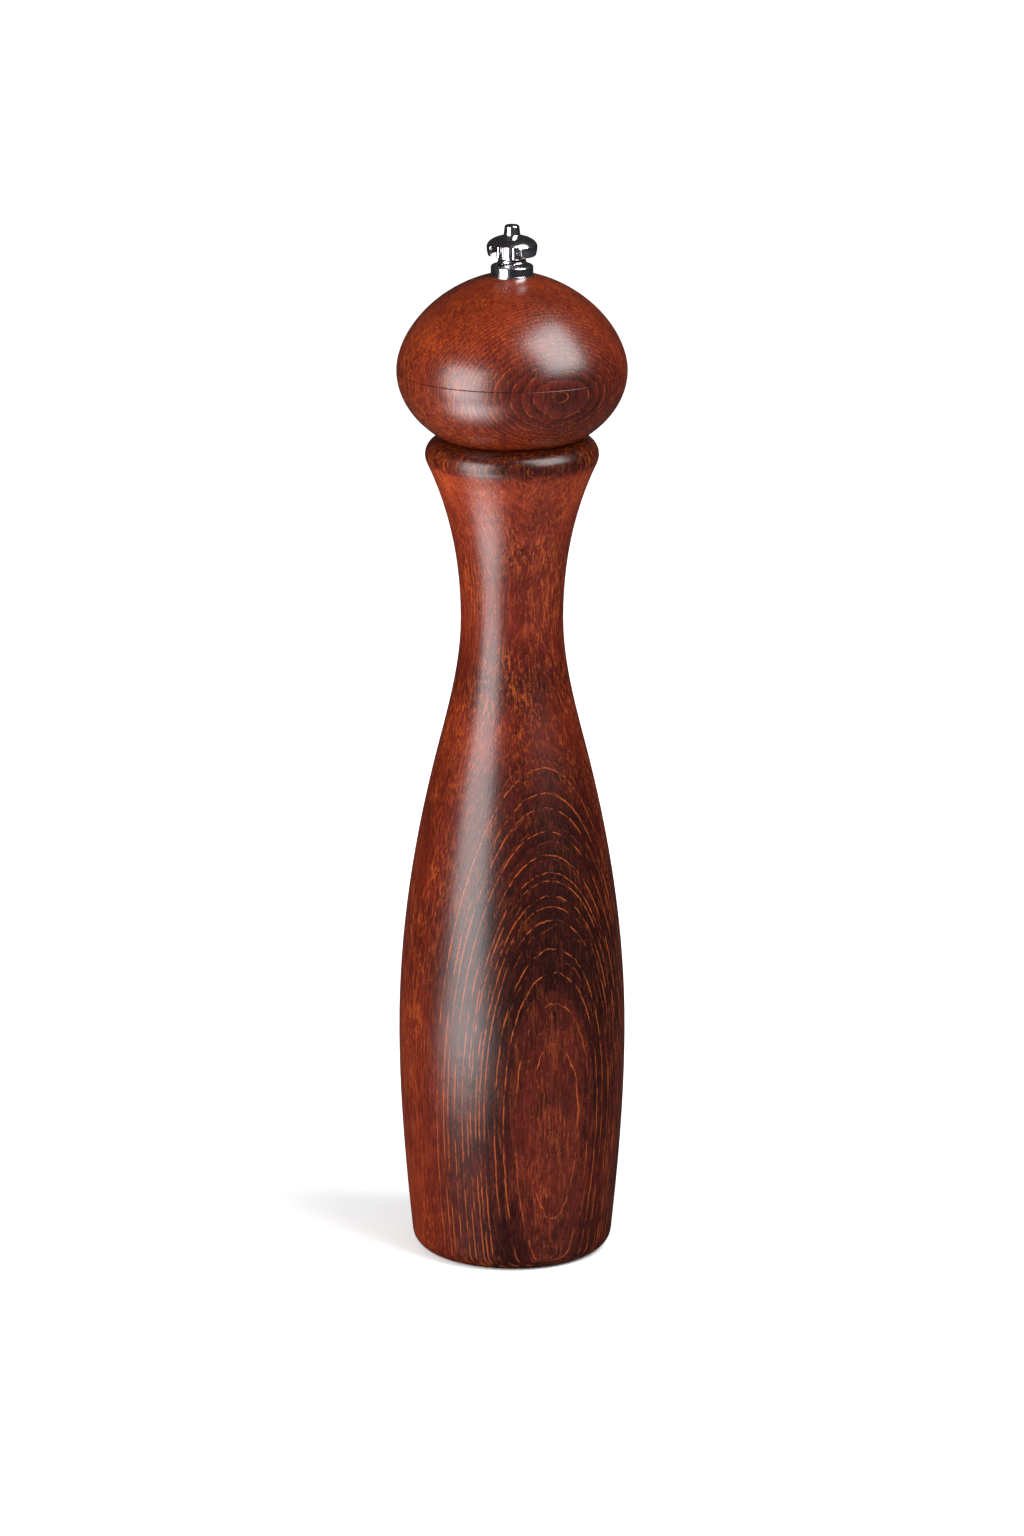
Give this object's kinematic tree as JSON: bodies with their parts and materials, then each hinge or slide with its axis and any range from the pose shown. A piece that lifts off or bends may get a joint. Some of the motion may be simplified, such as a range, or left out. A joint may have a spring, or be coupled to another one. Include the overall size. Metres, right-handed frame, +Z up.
{
  "type": "pepper mill",
  "caption": "Tall turned wooden pepper mill with an onion-shaped head that turns a steel burr in the foot, and a metal knob that sets the grind.",
  "frame": {"origin": "centre of the foot, on the surface the mill stands on", "axes": "+Z up along the turning axis, towards the knob; +X along the retaining bar"},
  "size_m": [0.0652, 0.0652, 0.3],
  "materials": {
    "wood_body": "red-brown stain under a satin lacquer",
    "wood_head": "red-brown stain under a satin lacquer",
    "nylon": "moulded",
    "hardened_steel": "machined",
    "spring_steel": "drawn wire",
    "plated_steel": "zinc plated",
    "shaft_alloy": "drawn",
    "brass": "turned",
    "bright_chrome": "polished"
  },
  "bodies": {
    "mill": {"body": "wood_body", "grinder_housing": "nylon", "stator": "hardened_steel", "stator_snap_ring": "spring_steel", "retaining_bar": "plated_steel", "bar_screws": "plated_steel", "housing_screws": "plated_steel"},
    "spring_stack": {"spring_seat": "plated_steel", "spring": "spring_steel"},
    "spindle": {"drive_shaft": "shaft_alloy", "rotor": "hardened_steel", "rotor_washer": "plated_steel", "rotor_clip": "spring_steel"},
    "head": {"head_base": "wood_head", "head_crown": "wood_head", "drive_plate": "plated_steel", "plate_screws": "plated_steel", "head_bush": "brass", "ferrule": "bright_chrome"},
    "knob": {"knob_hub": "bright_chrome", "knob_cap": "bright_chrome"}
  },
  "joints": [
    {"name": "head_turn", "type": "hinge", "parent": "mill", "child": "spring_stack", "pos_m": [0, 0, 0.0084], "axis": [0, 0, 1], "continuous": true},
    {"name": "grind_adjust", "type": "slide", "parent": "spring_stack", "child": "spindle", "axis": [0, 0, 1], "range_m": [-0.0024, 0], "deforming": ["spring"]},
    {"name": "head_lift", "type": "slide", "parent": "spring_stack", "child": "head", "axis": [0, 0, 1], "range_m": [0, 0.075]},
    {"name": "knob_turn", "type": "hinge", "parent": "head", "child": "knob", "pos_m": [0, 0, 0.2902], "axis": [0, 0, 1], "range_deg": [0, 1080]}
  ],
  "couplings": [
    {"joint": "knob_turn", "follows": "grind_adjust", "rad_per_m": -7853.9}
  ]
}
